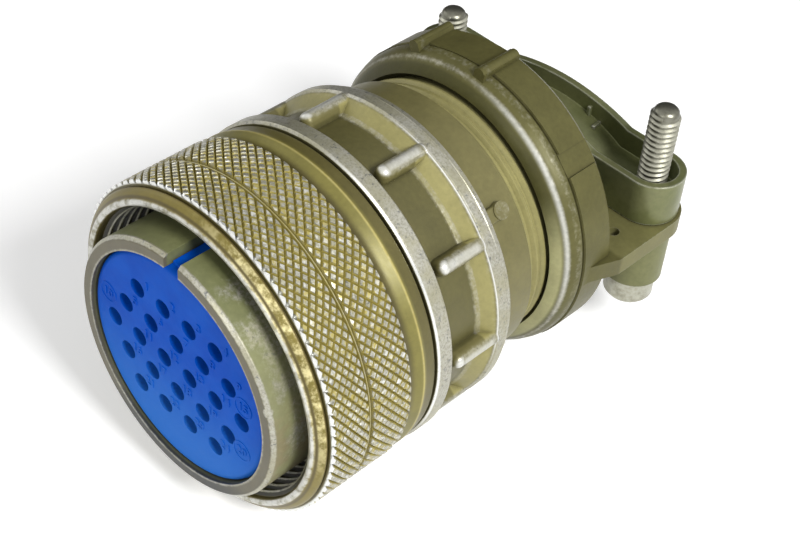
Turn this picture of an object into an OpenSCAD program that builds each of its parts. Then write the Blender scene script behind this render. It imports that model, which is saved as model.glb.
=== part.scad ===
// Circular plug connector with a coupling nut and a saddle cable clamp.
// Millimetres. The connector lies on its side: its axis runs along Y, the
// mating face looks towards -Y, the clamp screws stand upright, and Z = 0 is
// the surface it lies on. Stations along the axis count from the mating face.

/* [Barrel] */
// Outer diameter of the plug barrel
barrel_d = 34; // [33:0.1:35]
// Wall of the barrel at its mouth
barrel_wall = 1.8; // [1.5:0.1:2.1]
// How far the barrel stands out in front of the coupling nut
barrel_lead = 3.1; // [1:0.1:6]
// Chamfer on the barrel's front edge
barrel_chamfer = 0.45; // [0.2:0.05:0.8]
// Width of the keyway in the barrel
keyway_w = 2.4; // [1.8:0.1:3.2]
// Length of the keyway
keyway_len = 9; // [6:0.5:10]
// Width of the shoulder that the coupling nut turns behind
shoulder_w = 2; // [1.5:0.1:2.6]
// How far the shoulder stands out from the barrel
shoulder_h = 2.5; // [1.8:0.1:2.7]

/* [Insert and contacts] */
// Depth of the insert's face behind the barrel's edge
insert_recess = 0.5; // [0.2:0.1:1.5]
// Length of the front insert
front_insert_len = 12.5; // [11:0.5:15]
// Length of the rear insert
rear_insert_len = 11; // [9:0.5:12]
// Rounding of the front insert's edge
insert_round = 0.8; // [0.4:0.1:1.2]
// How far the insert's key stands up into the keyway
key_h = 0.3; // [0.2:0.05:1]
// Spacing of the contacts
contact_pitch = 4.5; // [4.2:0.05:4.7]
// Outer diameter of a contact
contact_d = 2.3; // [1.9:0.1:2.5]
// Depth of a contact's front end behind the insert's face
contact_recess = 1.5; // [0.8:0.1:3]
// Bore of a contact's socket and of its solder cup
contact_bore_d = 1.6; // [1:0.1:1.7]
// Diameter of the collar that holds a contact between the inserts
collar_d = 3.2; // [2.8:0.1:3.5]
// Length of a contact behind the rear insert
solder_cup_len = 5; // [3:0.5:6]

/* [Coupling nut] */
// Room between the barrel and the root of the coupling thread
coupling_gap = 2.05; // [1.8:0.05:2.3]
// Wall of the nut between the coupling thread's root and the knurl's root
nut_wall = 2.25; // [2:0.05:3]
// Depth of the knurl
knurl_depth = 0.5; // [0.3:0.05:0.6]
// Diamonds round each knurled band
knurl_columns = 90; // [60:2:96]
// Rows of diamonds across each band
knurl_rows = 5; // [3:1:5]
// Length of the front knurled band
front_band_len = 5.3; // [4:0.1:7]
// Length of the rear knurled band
rear_band_len = 5.9; // [4:0.1:7]
// Smooth gap between the bands
band_gap = 0.8; // [0.6:0.1:1.5]
// Length of the smooth nose in front of the knurl
nose_len = 1.7; // [1.4:0.1:2.5]
// Length of the smooth flare behind the knurl
flare_len = 4.4; // [3.6:0.1:6]
// Length of the inward lip at the nut's rear
nut_lip_w = 2.3; // [1.6:0.1:2.8]
// Free play of the nut along the axis, on each side
nut_play = 0.3; // [0.2:0.05:0.5]

/* [End bell] */
// Wall of the end bell under its pockets
bell_wall = 2.4; // [2:0.05:3]
// How far the front ring stands out from the pockets' floor
front_ring_h = 2.3; // [1.6:0.05:2.6]
// Width of the front ring
front_ring_w = 2.4; // [1.8:0.1:3.2]
// Length of the pockets, with their sloped ends
pocket_len = 8.1; // [6:0.1:10]
// Number of ribs
rib_count = 10; // [6:2:12]
// Width of a rib
rib_w = 2.1; // [1.6:0.1:2.8]
// How far a rib stands below the front ring
rib_drop = 0.25; // [0:0.05:0.6]
// How far the rear ring stands out from the pockets' floor
rear_ring_h = 1.95; // [1.2:0.05:2.4]
// Width of the rear ring's front step
rear_ring_w = 1.8; // [1.2:0.1:2.5]
// Width of the rear ring's low step
low_step_w = 1.2; // [0.8:0.1:2]
// How far the smooth neck lies below the pockets' floor
neck_drop = 0.5; // [0.2:0.05:0.8]
// Length of the smooth neck
neck_len = 5.9; // [4:0.1:8]
// How far the rear thread's root lies below the neck
thread_drop = 1.35; // [1:0.05:1.8]
// Length of the rear thread
rear_thread_len = 9; // [7:0.1:10]
// Thread left bare in front of the clamp
bare_thread_len = 3.7; // [2:0.1:4.5]
// Step from the barrel's bore down to the end bell's bore
bell_bore_step = 0.2; // [0:0.1:1]
// Width of the gasket's ring
gasket_ring_w = 1.7; // [1.2:0.1:2]
// Thickness of the gasket
gasket_w = 0.7; // [0.4:0.1:1]
// Diameter of the nub on the neck
nub_d = 2.3; // [1.6:0.1:3]
// How far the nub stands out from the neck
nub_h = 0.9; // [0.4:0.1:1.4]
// Angle of the nub, clockwise from the top
nub_angle = 49; // [36:1:60]

/* [Cable clamp] */
// Wall of the clamp's ring over the rear thread's root
clamp_ring_wall = 3.4; // [3:0.05:4]
// Length of the clamp's ring
clamp_len = 8.9; // [8:0.1:11]
// Length of the rounded lip at the clamp's mouth
lip_len = 3.2; // [2.4:0.1:3.4]
// Height of the panels on the clamp's ring
panel_h = 0.2; // [0.1:0.05:0.6]
// Thickness of the clamp's rear wall
clamp_wall = 2.6; // [2:0.1:3.4]
// Cable bore
cable_d = 23.8; // [20:0.1:24.4]
// Wall of the trough that the cable lies in
trough_wall = 2; // [1.5:0.1:2.4]
// Height of the lugs on the clamp's ring
lug_h = 1.2; // [0.6:0.1:1.5]
// Width of a lug
lug_w = 1.6; // [1.2:0.1:2.4]
// Angle between the two lugs of a pair
lug_gap = 30; // [24:1:36]
// Angle of the first lug on top
lug_angle = 5.5; // [0:0.5:12]
// Thickness of the ears
ear_t = 2.6; // [2:0.1:3.4]
// Height of the ears' top above the axis
ear_top = 1; // [0:0.1:2]
// Distance between the two screws
screw_spacing = 36; // [35:0.1:37]
// Distance from the clamp's ring to the screws
screw_reach = 10.8; // [9:0.1:13]
// Diameter of the wire hole in each ear
wire_hole_d = 1.6; // [1:0.1:2]
// Distance from the wire holes to the screws
wire_hole_reach = 7.4; // [6:0.1:8]
// Diameter of the bosses on the ears and the saddle
boss_d = 8; // [7:0.1:9]
// How far the ears' rounded ends stand out beyond the bosses
ear_edge = 0.7; // [0.3:0.1:1]
// How far the saddle's rounded ends stand out beyond the bosses
saddle_edge = 0.25; // [0:0.05:0.3]
// Height of the bosses under the ears
boss_h = 8.4; // [6:0.1:9]

/* [Saddle and screws] */
// Height of the saddle's ends
saddle_h = 6.3; // [5:0.1:8]
// Rise of the saddle's arch above its ends
saddle_rise = 1.9; // [1:0.1:3]
// Wall of the saddle's rim
saddle_wall = 1.1; // [0.8:0.1:1.5]
// Thickness of the saddle's floor
saddle_floor = 1.4; // [1:0.1:2]
// Height of the arch's underside above the ears
arch_h = 4.5; // [3:0.1:6]
// Threaded length in each end of the saddle
thread_seat = 3.3; // [2.5:0.1:4]
// Diameter of the screws at the thread's root
screw_root_d = 3.4; // [3:0.05:3.5]
// Diameter over the screws' thread
screw_d = 4; // [3.8:0.05:4.2]
// Length of the right screw under its head
right_screw_len = 27; // [22:0.1:29]
// Length of the left screw under its head
left_screw_len = 22.5; // [18:0.1:25]
// Diameter of a screw's head
head_d = 6.7; // [5.5:0.1:7.5]
// Height of a screw's head
head_h = 4.5; // [2.8:0.1:5]
// Width of the slot in a screw's head
slot_w = 0.9; // [0.7:0.1:1.2]
// Depth of the slot
slot_h = 1.1; // [0.8:0.1:1.6]

/* [Fits] */
// Radial clearance of running fits
running_fit = 0.08; // [0.03:0.01:0.1]
// Gap between faces that meet
seat_gap = 0.05; // [0.02:0.01:0.1]

/* [Hidden] */
$fn = 128;

function contact_name(i) = str("contact_", i < 10 ? "0" : "", i);

// the contacts lie in five rows on a triangular lattice
contact_rows = [4, 5, 6, 5, 4];
row_step = contact_pitch * sqrt(3) / 2;
contact_at = [for (k = [0:4]) for (i = [0:contact_rows[k] - 1])
  [(i - (contact_rows[k] - 1) / 2) * contact_pitch, (2 - k) * row_step]];

// radii
barrel_r = barrel_d / 2;
mouth_r = barrel_r - barrel_wall;
seat_step = 0.4;
rear_seat_r = mouth_r + seat_step;
shoulder_r = barrel_r + shoulder_h;
coupling_bore_r = barrel_r + coupling_gap;
knurl_root_r = coupling_bore_r + nut_wall;
knurl_r = knurl_root_r + knurl_depth;
band_floor_r = knurl_root_r - 0.35;
nut_relief_r = max(shoulder_r + 0.5, coupling_bore_r);
pocket_r = barrel_r + bell_wall;
front_ring_r = pocket_r + front_ring_h;
rear_ring_r = pocket_r + rear_ring_h;
neck_r = pocket_r - neck_drop;
thread_root_r = neck_r - thread_drop;
bell_bore_r = mouth_r - bell_bore_step;
clamp_r = thread_root_r + clamp_ring_wall;
cable_r = cable_d / 2;
boss_r = boss_d / 2;
screw_x = screw_spacing / 2;

// stations along the axis, from the mating face
nut_y0 = barrel_lead;
band1_y0 = nut_y0 + nose_len;
band1_y1 = band1_y0 + front_band_len;
band2_y0 = band1_y1 + band_gap;
band2_y1 = band2_y0 + rear_band_len;
nut_y1 = band2_y1 + flare_len;
lip_y0 = nut_y1 - nut_lip_w;
shoulder_y1 = lip_y0 - nut_play;
shoulder_y0 = shoulder_y1 - shoulder_w;
relief_y0 = shoulder_y0 - 2;
insert_y0 = insert_recess;
insert_y1 = insert_y0 + front_insert_len;
seat_y = insert_y1 - 4;
rear_insert_y1 = insert_y1 + seat_gap + rear_insert_len;
snap_w = 1;
snap_y0 = rear_insert_y1 + seat_gap;
bell_y0 = nut_y1 + nut_play;
pocket_y0 = bell_y0 + front_ring_w;
ring2_y0 = pocket_y0 + pocket_len;
ring2_y1 = ring2_y0 + rear_ring_w;
neck_y0 = ring2_y1 + low_step_w;
thread_y0 = neck_y0 + neck_len;
bell_y1 = thread_y0 + rear_thread_len;
shell_y1 = max(bell_y0 + 9.7, snap_y0 + snap_w + 2);
gasket_y0 = shell_y1 + seat_gap;
bell_seat_y = gasket_y0 + gasket_w + seat_gap;
clamp_y0 = thread_y0 + bare_thread_len;
clamp_y1 = clamp_y0 + clamp_len;
clamp_wall_y = clamp_y1 - clamp_wall;
panel_y0 = clamp_y0 + lip_len + 0.3;
screw_y = clamp_y1 + screw_reach;
ear_r = boss_r + ear_edge;
ear_x = screw_x + ear_r;
overall_len = screw_y + ear_r;

// heights from the axis
saddle_z0 = ear_top + seat_gap;
saddle_z1 = saddle_z0 + saddle_h;
boss_z0 = ear_top - ear_t - boss_h;
head_z1 = boss_z0 - seat_gap;

// the ring has a pair of lugs on top and another, under the axis, that it rests on
lugs = [lug_angle, lug_angle - lug_gap, 180 - lug_gap / 2, 180 + lug_gap / 2];

// the axis lies this high, so that the knurl or the lugs rest on Z = 0
axis_z = max(knurl_r, front_ring_r, (clamp_r + lug_h) * cos(lug_gap / 2) + lug_w / 2 * sin(lug_gap / 2));

// puts what is drawn round the axis, from the mating face, in its place
module placed() translate([0, -overall_len / 2, axis_z]) children();

// a shape turned about the axis from its [radius, station] outline
module turned(outline, fn = $fn)
  rotate([-90, 0, 0]) rotate_extrude($fn = fn) polygon(outline);

// a cylinder along the axis between two stations
module along(r, y0, y1, fn = $fn)
  translate([0, y0, 0]) rotate([-90, 0, 0]) cylinder(r = r, h = y1 - y0, $fn = fn);

// children turned about the axis, clockwise from the top as seen from the front
module at_angle(a) rotate([0, a, 0]) children();

module plug_shell() color([0.47, 0.45, 0.27]) placed() difference() {
  turned([
    [mouth_r, 0], [barrel_r - barrel_chamfer, 0], [barrel_r, barrel_chamfer],
    [barrel_r, shoulder_y0], [shoulder_r, shoulder_y0], [shoulder_r, shoulder_y1],
    [barrel_r, shoulder_y1], [barrel_r, shell_y1 - 0.5], [barrel_r - 0.5, shell_y1],
    [rear_seat_r, shell_y1], [rear_seat_r, snap_y0 + snap_w + 0.05],
    [rear_seat_r + 0.75, snap_y0 + snap_w + 0.05], [rear_seat_r + 0.75, snap_y0 - 0.05],
    [rear_seat_r, snap_y0 - 0.05], [rear_seat_r, seat_y - 0.05], [mouth_r, seat_y - 0.05]]);
  // keyway
  translate([-keyway_w / 2, -1, mouth_r - 1]) cube([keyway_w, keyway_len + 1, barrel_wall + 3]);
}

module insert_outline(r_fit) {
  turned([
    [0, insert_y0], [mouth_r - r_fit - insert_round, insert_y0],
    for (a = [15:15:75]) [mouth_r - r_fit - insert_round * (1 - sin(a)), insert_y0 + insert_round * (1 - cos(a))],
    [mouth_r - r_fit, insert_y0 + insert_round], [mouth_r - r_fit, seat_y],
    [rear_seat_r - r_fit, seat_y], [rear_seat_r - r_fit, insert_y1], [0, insert_y1]]);
}

module front_insert() color([0.13, 0.36, 0.80]) placed() difference() {
  union() {
    insert_outline(running_fit);
    // key that fills the foot of the barrel's keyway
    key_w = keyway_w - 2 * running_fit;
    translate([-key_w / 2, insert_y0 + insert_round, mouth_r - 1.5])
      cube([key_w, keyway_len - insert_round - insert_y0 - 0.2, 1.5 + key_h]);
  }
  for (p = contact_at) translate([p[0], 0, p[1]]) {
    along(contact_d / 2 + running_fit, insert_y0 - 1, insert_y1 + 1, 32);
    along(collar_d / 2 + running_fit, insert_y1 - 1, insert_y1 + 1, 32);
  }
}

module rear_insert() color([0.15, 0.17, 0.20]) placed() difference() {
  along(rear_seat_r - running_fit, insert_y1 + seat_gap, rear_insert_y1);
  for (p = contact_at) translate([p[0], 0, p[1]]) {
    along(contact_d / 2 + running_fit, insert_y1 - 1, rear_insert_y1 + 1, 32);
    along(collar_d / 2 + running_fit, insert_y1 - 1, insert_y1 + 1, 32);
  }
}

module insert_snap_ring() color([0.62, 0.62, 0.64]) placed() difference() {
  along(rear_seat_r + 0.65, snap_y0, snap_y0 + snap_w);
  along(rear_seat_r - 1, snap_y0 - 1, snap_y0 + snap_w + 1);
  // the ring's open ends
  translate([-1.5, snap_y0 - 1, -rear_seat_r - 3]) cube([3, snap_w + 2, 6]);
}

// one contact: a socket in front, a collar between the inserts, a solder cup behind
module contact(p) color([0.80, 0.68, 0.36]) placed() translate([p[0], 0, p[1]]) difference() {
  y0 = insert_y0 + contact_recess;
  y1 = rear_insert_y1 + solder_cup_len;
  union() {
    along(contact_d / 2, y0, y1, 32);
    along(collar_d / 2, insert_y1 - 0.9, insert_y1 + 0.9, 32);
  }
  along(contact_bore_d / 2, y0 - 1, y0 + 7, 24);
  along(contact_bore_d / 2, y1 - 4, y1 + 1, 24);
  // the cup is cut open along its end
  translate([-contact_d, y1 - 2.5, 0.2]) cube([2 * contact_d, 4, contact_d]);
}

// a closed tube whose outside is a grid of four-sided pyramids
module knurl_band(y0, y1, r_in) {
  na = 2 * knurl_columns;
  nj = 2 * knurl_rows;
  function at(r, i, y) = [r * sin(360 * i / na), y, r * cos(360 * i / na)];
  function o(i, j) = j * na + i % na;
  function q(i, k) = (nj + 1) * na + k * na + i % na;
  outer = [for (j = [0:nj]) for (i = [0:na - 1])
    at((i + j) % 2 == 0 ? knurl_r : knurl_root_r, i, y0 + (y1 - y0) * j / nj)];
  inner = [for (y = [y0, y1]) for (i = [0:na - 1]) at(r_in, i, y)];
  pyramids = [for (j = [0:nj - 1]) for (i = [0:na - 1]) each ((i + j) % 2 == 0
    ? [[o(i, j + 1), o(i + 1, j), o(i, j)], [o(i, j + 1), o(i + 1, j + 1), o(i + 1, j)]]
    : [[o(i + 1, j + 1), o(i + 1, j), o(i, j)], [o(i, j + 1), o(i + 1, j + 1), o(i, j)]])];
  inside = [for (i = [0:na - 1]) [q(i + 1, 0), q(i + 1, 1), q(i, 1), q(i, 0)]];
  front = [for (i = [0:na - 1]) [o(i + 1, 0), q(i + 1, 0), q(i, 0), o(i, 0)]];
  back = [for (i = [0:na - 1]) [q(i, 1), q(i + 1, 1), o(i + 1, nj), o(i, nj)]];
  polyhedron(points = concat(outer, inner), faces = concat(pyramids, inside, front, back), convexity = 6);
}

module coupling_nut() color([0.51, 0.48, 0.27]) placed() {
  flare = knurl_root_r - 0.1;
  turned([
    // mouth, its rounded edge and the nose
    [coupling_bore_r, nut_y0 + 0.55], [coupling_bore_r + 0.25, nut_y0 + 0.15],
    [coupling_bore_r + 0.7, nut_y0], [coupling_bore_r + 1.1, nut_y0 + 0.12],
    [knurl_root_r - 0.1, nut_y0 + nose_len - 0.7], [knurl_root_r, nut_y0 + nose_len - 0.2],
    // floors of the two bands, with the smooth ridge between them
    [band_floor_r, nut_y0 + nose_len - 0.2], [band_floor_r, band1_y1 + 0.15],
    [knurl_root_r - 0.1, band1_y1 + 0.15], [knurl_root_r - 0.1, band2_y0 - 0.3],
    [band_floor_r, band2_y0 - 0.3], [band_floor_r, band2_y1 + 0.05],
    // hollow flare, its ridge and the rear edge
    [flare, band2_y1 + 0.05], [flare - 0.15, band2_y1 + 0.5],
    [flare - 0.2, band2_y1 + flare_len * 0.28], [flare - 0.05, band2_y1 + flare_len * 0.45],
    [flare + 0.25, band2_y1 + flare_len * 0.62], [flare + 0.35, band2_y1 + flare_len * 0.7],
    [flare + 0.3, band2_y1 + flare_len * 0.78], [flare - 0.3, nut_y1 - 0.15], [flare - 0.5, nut_y1],
    // rear lip, the relief behind the thread and the thread's bore
    [barrel_r + running_fit, nut_y1], [barrel_r + running_fit, lip_y0],
    [nut_relief_r, lip_y0], [nut_relief_r, relief_y0], [coupling_bore_r, relief_y0]]);
  knurl_band(band1_y0, band1_y1, band_floor_r - 0.2);
  knurl_band(band2_y0, band2_y1, band_floor_r - 0.2);
}

// an axial rib with a round top and a round front end
module rib() {
  r = rib_w / 2;
  top = front_ring_r - rib_drop;
  translate([0, 0, top - r]) {
    along(r, pocket_y0 + 1 + r, ring2_y0 + 0.3, 32);
    translate([0, pocket_y0 + 1 + r, 0]) sphere(r = r, $fn = 32);
  }
  translate([0, pocket_y0 + 1 + r, pocket_r - 0.6]) cylinder(r = r, h = top - r - pocket_r + 0.6, $fn = 32);
  translate([-r, pocket_y0 + 1 + r, pocket_r - 0.6])
    cube([rib_w, ring2_y0 + 0.3 - pocket_y0 - 1 - r, top - r - pocket_r + 0.6]);
}

module end_bell() color([0.50, 0.48, 0.30]) placed() difference() {
  union() {
    turned([
      [barrel_r + running_fit, bell_y0], [front_ring_r - 0.35, bell_y0], [front_ring_r, bell_y0 + 0.3],
      [front_ring_r, pocket_y0 - 0.3], [front_ring_r - 0.3, pocket_y0],
      // pockets, with a short front slope and a long rear one
      [pocket_r + 0.5, pocket_y0 + 0.3], [pocket_r, pocket_y0 + 0.9],
      [pocket_r, ring2_y0 - 2], [pocket_r + 0.3, ring2_y0 - 1.5], [rear_ring_r - 0.25, ring2_y0],
      [rear_ring_r, ring2_y0 + 0.25], [rear_ring_r, ring2_y1 - 0.3], [rear_ring_r - 0.35, ring2_y1],
      [rear_ring_r - 0.6, ring2_y1 + 0.1], [rear_ring_r - 0.5, ring2_y1 + 0.3],
      [rear_ring_r - 0.6, neck_y0 - 0.3], [neck_r + 0.3, neck_y0], [neck_r, neck_y0 + 0.4],
      [neck_r, thread_y0 - 0.3], [neck_r - 0.3, thread_y0], [thread_root_r, thread_y0 + 0.2],
      [thread_root_r, bell_y1 - 0.5], [thread_root_r - 0.5, bell_y1],
      [bell_bore_r, bell_y1], [bell_bore_r, bell_seat_y],
      [barrel_r + running_fit, bell_seat_y]]);
    for (i = [0:rib_count - 1]) at_angle((i + 0.5) * 360 / rib_count) rib();
    // round nub on the neck
    at_angle(nub_angle) translate([0, neck_y0 + 2.6, neck_r - 0.5]) cylinder(d = nub_d, h = nub_h + 0.5, $fn = 24);
  }
}

module bell_gasket() color([0.12, 0.12, 0.12]) placed() difference() {
  along(barrel_r, gasket_y0, gasket_y0 + gasket_w);
  along(barrel_r - gasket_ring_w, gasket_y0 - 1, gasket_y0 + gasket_w + 1);
}

// an ear's outline seen from above: its end is round about the screw
module ear_plan() {
  translate([screw_x, screw_y]) circle(r = ear_r, $fn = 64);
  translate([cable_r * 0.5, clamp_y1 - 0.5]) square([ear_x - cable_r * 0.5 - ear_r, screw_y + ear_r - clamp_y1 + 0.5]);
  // the outer edge runs from the ring's side out to the ear's full width
  polygon([[cable_r * 0.5, panel_y0], [clamp_r - 0.3, panel_y0], [ear_x, clamp_y1], [ear_x, screw_y], [cable_r * 0.5, screw_y]]);
}

// a lug: a short raised bar on the ring
module lug() {
  translate([-lug_w / 2, clamp_y0 + 1.7, clamp_r - 0.6]) {
    cube([lug_w, clamp_len - 2.4, lug_h + 0.6 - lug_w / 4]);
    translate([lug_w / 2, 0, lug_h + 0.6 - lug_w / 2]) rotate([-90, 0, 0]) cylinder(r = lug_w / 2, h = clamp_len - 2.4, $fn = 24);
  }
}

module clamp_body() color([0.47, 0.45, 0.27]) placed() difference() {
  union() {
    difference() {
      turned([
        // mouth, rounded lip, groove, panel band and rear face
        [thread_root_r + 0.8, clamp_y0], [clamp_r - 1.7, clamp_y0 + 0.35], [clamp_r - 0.85, clamp_y0 + 1.1],
        [clamp_r - 0.3, clamp_y0 + 1.9], [clamp_r, clamp_y0 + 2.8], [clamp_r, clamp_y0 + lip_len],
        [clamp_r - 0.25, clamp_y0 + lip_len + 0.1], [clamp_r - 0.25, panel_y0],
        [clamp_r + panel_h, panel_y0 + 0.1], [clamp_r + panel_h, clamp_y1 - 0.7], [clamp_r - 0.4, clamp_y1],
        [cable_r, clamp_y1], [cable_r, clamp_wall_y], [thread_root_r - 1, clamp_wall_y],
        [thread_root_r - 1, clamp_wall_y - 0.6], [thread_root_r + running_fit, clamp_wall_y - 1.2],
        [thread_root_r + running_fit, clamp_y0 + 1]]);
      // shallow axial channels between the panels
      for (a = [47, -47, 133, -133]) at_angle(a)
        translate([-1.6, panel_y0, clamp_r - 0.2]) cube([3.2, clamp_len, 4]);
      // wider flats beside the lugs, on top and underneath
      for (a = [(lugs[0] + lugs[1]) / 2, 180]) at_angle(a) intersection() {
        translate([-5, panel_y0, clamp_r - 0.3]) cube([10, clamp_len, 4]);
        difference() {
          along(clamp_r + 4, panel_y0, clamp_y1 + 1);
          along(clamp_r - 0.1, panel_y0 - 1, clamp_y1 + 2);
        }
      }
    }
    for (a = lugs) at_angle(a) lug();
    // ears, the bosses under them and the trough between them
    for (s = [0, 1]) mirror([s, 0, 0]) {
      difference() {
        translate([0, 0, ear_top - ear_t]) linear_extrude(ear_t) ear_plan();
        along(clamp_r - 1, panel_y0 - 1, clamp_y1);
      }
      translate([screw_x, screw_y, boss_z0]) cylinder(r = boss_r, h = boss_h + 0.5, $fn = 64);
    }
    intersection() {
      along(cable_r + trough_wall, clamp_y1 - 0.5, screw_y + boss_r);
      translate([-clamp_r, clamp_y1 - 0.5, -clamp_r]) cube([2 * clamp_r, overall_len, clamp_r + ear_top]);
    }
  }
  // cable bore, on through the trough
  along(cable_r, clamp_wall_y - 0.1, overall_len + 1);
  // clearance holes for the screws, and a small wire hole in each ear
  for (s = [-1, 1]) {
    translate([s * screw_x, screw_y, boss_z0 - 1]) cylinder(r = screw_d / 2 + 0.2, h = boss_h + ear_t + 3, $fn = 48);
    translate([s * (screw_x + 0.6), screw_y - wire_hole_reach, ear_top - ear_t - 1]) cylinder(d = wire_hole_d, h = ear_t + 2, $fn = 24);
  }
}

// the saddle's outline seen from above, drawn in by a wall
module saddle_plan(inset) {
  r = boss_r + saddle_edge - inset;
  for (s = [-1, 1]) translate([s * screw_x, screw_y]) circle(r = r, $fn = 64);
  translate([-screw_x, screw_y - r]) square([2 * screw_x, 2 * r]);
}

module saddle() color([0.42, 0.42, 0.25]) placed() difference() {
  arch_half = cable_r + 1;
  arch_r = (arch_half * arch_half + arch_h * arch_h) / (2 * arch_h);
  arch_z = saddle_z0 + arch_h - arch_r;
  rise_half = 11;
  rise_r = (rise_half * rise_half + saddle_rise * saddle_rise) / (2 * saddle_rise);
  rise_z = saddle_z1 + saddle_rise - rise_r;
  intersection() {
    translate([0, 0, saddle_z0]) linear_extrude(saddle_h + saddle_rise + 1) saddle_plan(0);
    union() {
      translate([-2 * ear_x, 0, saddle_z0 - 1]) cube([4 * ear_x, 2 * overall_len, saddle_h + 1]);
      translate([0, 0, rise_z]) along(rise_r, 0, overall_len + 10, 256);
    }
  }
  // underside of the arch
  translate([0, 0, arch_z]) along(arch_r, 0, overall_len + 10, 256);
  // hollow top, down to the floor over the arch and in the cups round the screws
  difference() {
    translate([0, 0, saddle_z0 + thread_seat]) linear_extrude(saddle_h + saddle_rise) saddle_plan(saddle_wall);
    translate([0, 0, arch_z]) along(arch_r + saddle_floor, 0, overall_len + 10, 256);
  }
  for (s = [-1, 1]) translate([s * screw_x, screw_y, saddle_z0 - 1])
    cylinder(r = screw_root_d / 2 + running_fit, h = saddle_h + 3, $fn = 48);
}

// a slotted screw, its head down and its round tip up
module screw(len) {
  root_r = screw_root_d / 2;
  head_r = head_d / 2;
  translate([0, screw_y, head_z1]) difference() {
    rotate_extrude($fn = 64) polygon([
      [0, -head_h], [head_r * 0.55, -head_h + 0.12], [head_r * 0.85, -head_h + 0.5], [head_r, -head_h + 1.1],
      [head_r, 0], [root_r, 0], [root_r, len - 0.9], [root_r * 0.94, len - 0.5],
      [root_r * 0.78, len - 0.2], [root_r * 0.5, len - 0.04], [0, len]]);
    translate([-head_r - 1, -slot_w / 2, -head_h - 1]) cube([head_d + 2, slot_w, slot_h + 1]);
  }
}

module screw_right() color([0.60, 0.60, 0.58]) placed() translate([screw_x, 0, 0]) screw(right_screw_len);
module screw_left() color([0.60, 0.60, 0.58]) placed() translate([-screw_x, 0, 0]) screw(left_screw_len);

plug_shell();
coupling_nut();
front_insert();
rear_insert();
insert_snap_ring();
end_bell();
bell_gasket();
clamp_body();
saddle();
screw_right();
screw_left();
for (i = [1:24]) contact(contact_at[i - 1]);
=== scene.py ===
# %% [markdown]
# # A circular plug connector, dressed for a close look
#
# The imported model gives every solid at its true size: the barrel, the
# coupling nut, the insert with its contacts, the end bell and the cable
# clamp. This lesson gives each of them its finish and adds what is too fine
# for the solids: the threads, the knurl's worn tips and the numbers on the
# insert. The object's lengths are in millimetres until `MM` turns them into
# metres, and inside a finish `PER_METRE` turns metres back into millimetres.
# A station is a place along the axis, counted from the mating face.

# %% The frame and the measures it gives
from math import cos, radians, sin, tau

import bmesh
import bpy
from mathutils import Matrix, Vector, noise


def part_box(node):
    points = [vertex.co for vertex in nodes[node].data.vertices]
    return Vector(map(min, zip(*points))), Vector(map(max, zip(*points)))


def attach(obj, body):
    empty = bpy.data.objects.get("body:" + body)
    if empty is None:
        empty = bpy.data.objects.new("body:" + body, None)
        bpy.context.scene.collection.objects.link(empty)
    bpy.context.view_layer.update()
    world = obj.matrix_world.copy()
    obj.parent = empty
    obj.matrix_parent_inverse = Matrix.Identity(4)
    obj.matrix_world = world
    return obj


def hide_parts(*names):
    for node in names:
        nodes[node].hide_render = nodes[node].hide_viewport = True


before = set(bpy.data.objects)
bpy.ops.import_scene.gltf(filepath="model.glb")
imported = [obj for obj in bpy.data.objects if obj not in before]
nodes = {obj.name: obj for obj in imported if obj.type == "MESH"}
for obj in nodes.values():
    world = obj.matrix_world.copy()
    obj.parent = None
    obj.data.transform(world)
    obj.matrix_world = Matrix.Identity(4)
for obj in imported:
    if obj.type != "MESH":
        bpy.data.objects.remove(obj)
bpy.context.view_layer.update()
MM = 0.001
PER_METRE = 1000

shell_low, shell_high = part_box("plug_shell")
nut_low, nut_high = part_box("coupling_nut")
bell_low, bell_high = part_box("end_bell")
saddle_low, saddle_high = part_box("saddle")
screw_low, screw_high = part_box("screw_right")
FACE_Y = shell_low.y / MM
AXIS_Z = (shell_low.z + shell_high.z) / 2 / MM
NUT_FRONT = nut_low.y / MM - FACE_Y
NUT_REAR = nut_high.y / MM - FACE_Y
BELL_FRONT = bell_low.y / MM - FACE_Y
BELL_REAR = bell_high.y / MM - FACE_Y
SCREW_X = (screw_low.x + screw_high.x) / 2 / MM
SCREW_Y = (saddle_low.y + saddle_high.y) / 2 / MM
SCREW_TIP = screw_high.z / MM - AXIS_Z
print(f"axis {AXIS_Z:.2f} mm up, mating face at {FACE_Y:.2f}")
print(f"nut from {NUT_FRONT:.2f} to {NUT_REAR:.2f}, bell to {BELL_REAR:.2f}")

# %% [markdown]
# ## The camera
#
# The connector is seen from its front right and from well above, close by,
# so near rims look larger than far ones. A camera is easiest to place by the
# point it looks at, two angles and a distance, as on a tripod, and the roll
# is what lets the clamp screws lean a little.

# %% Camera
AZIMUTH, ELEVATION, ROLL = radians(40.99), radians(42.87), radians(5.66)
CAMERA_DISTANCE = 180 * MM
LOOKED_AT = Vector((18.24, FACE_Y + 16.8, AXIS_Z + 17.71)) * MM

back = Vector((sin(AZIMUTH) * cos(ELEVATION), -cos(AZIMUTH) * cos(ELEVATION), sin(ELEVATION)))
level = Vector((cos(AZIMUTH), sin(AZIMUTH), 0))
upward = back.cross(level)
right = level * cos(ROLL) + upward * sin(ROLL)
up = upward * cos(ROLL) - level * sin(ROLL)
camera_data = bpy.data.cameras.new("camera")
camera_data.sensor_width = 36
camera_data.lens = 75.15
camera_data.clip_start = 0.01
camera = bpy.data.objects.new("camera", camera_data)
turn = Matrix((right, up, back)).transposed()
camera.matrix_world = Matrix.LocRotScale(LOOKED_AT + back * CAMERA_DISTANCE, turn, None)
bpy.context.scene.collection.objects.link(camera)
bpy.context.scene.camera = camera
print(f"camera {CAMERA_DISTANCE / MM:.0f} mm away, lens {camera_data.lens:.2f} mm")

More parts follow.
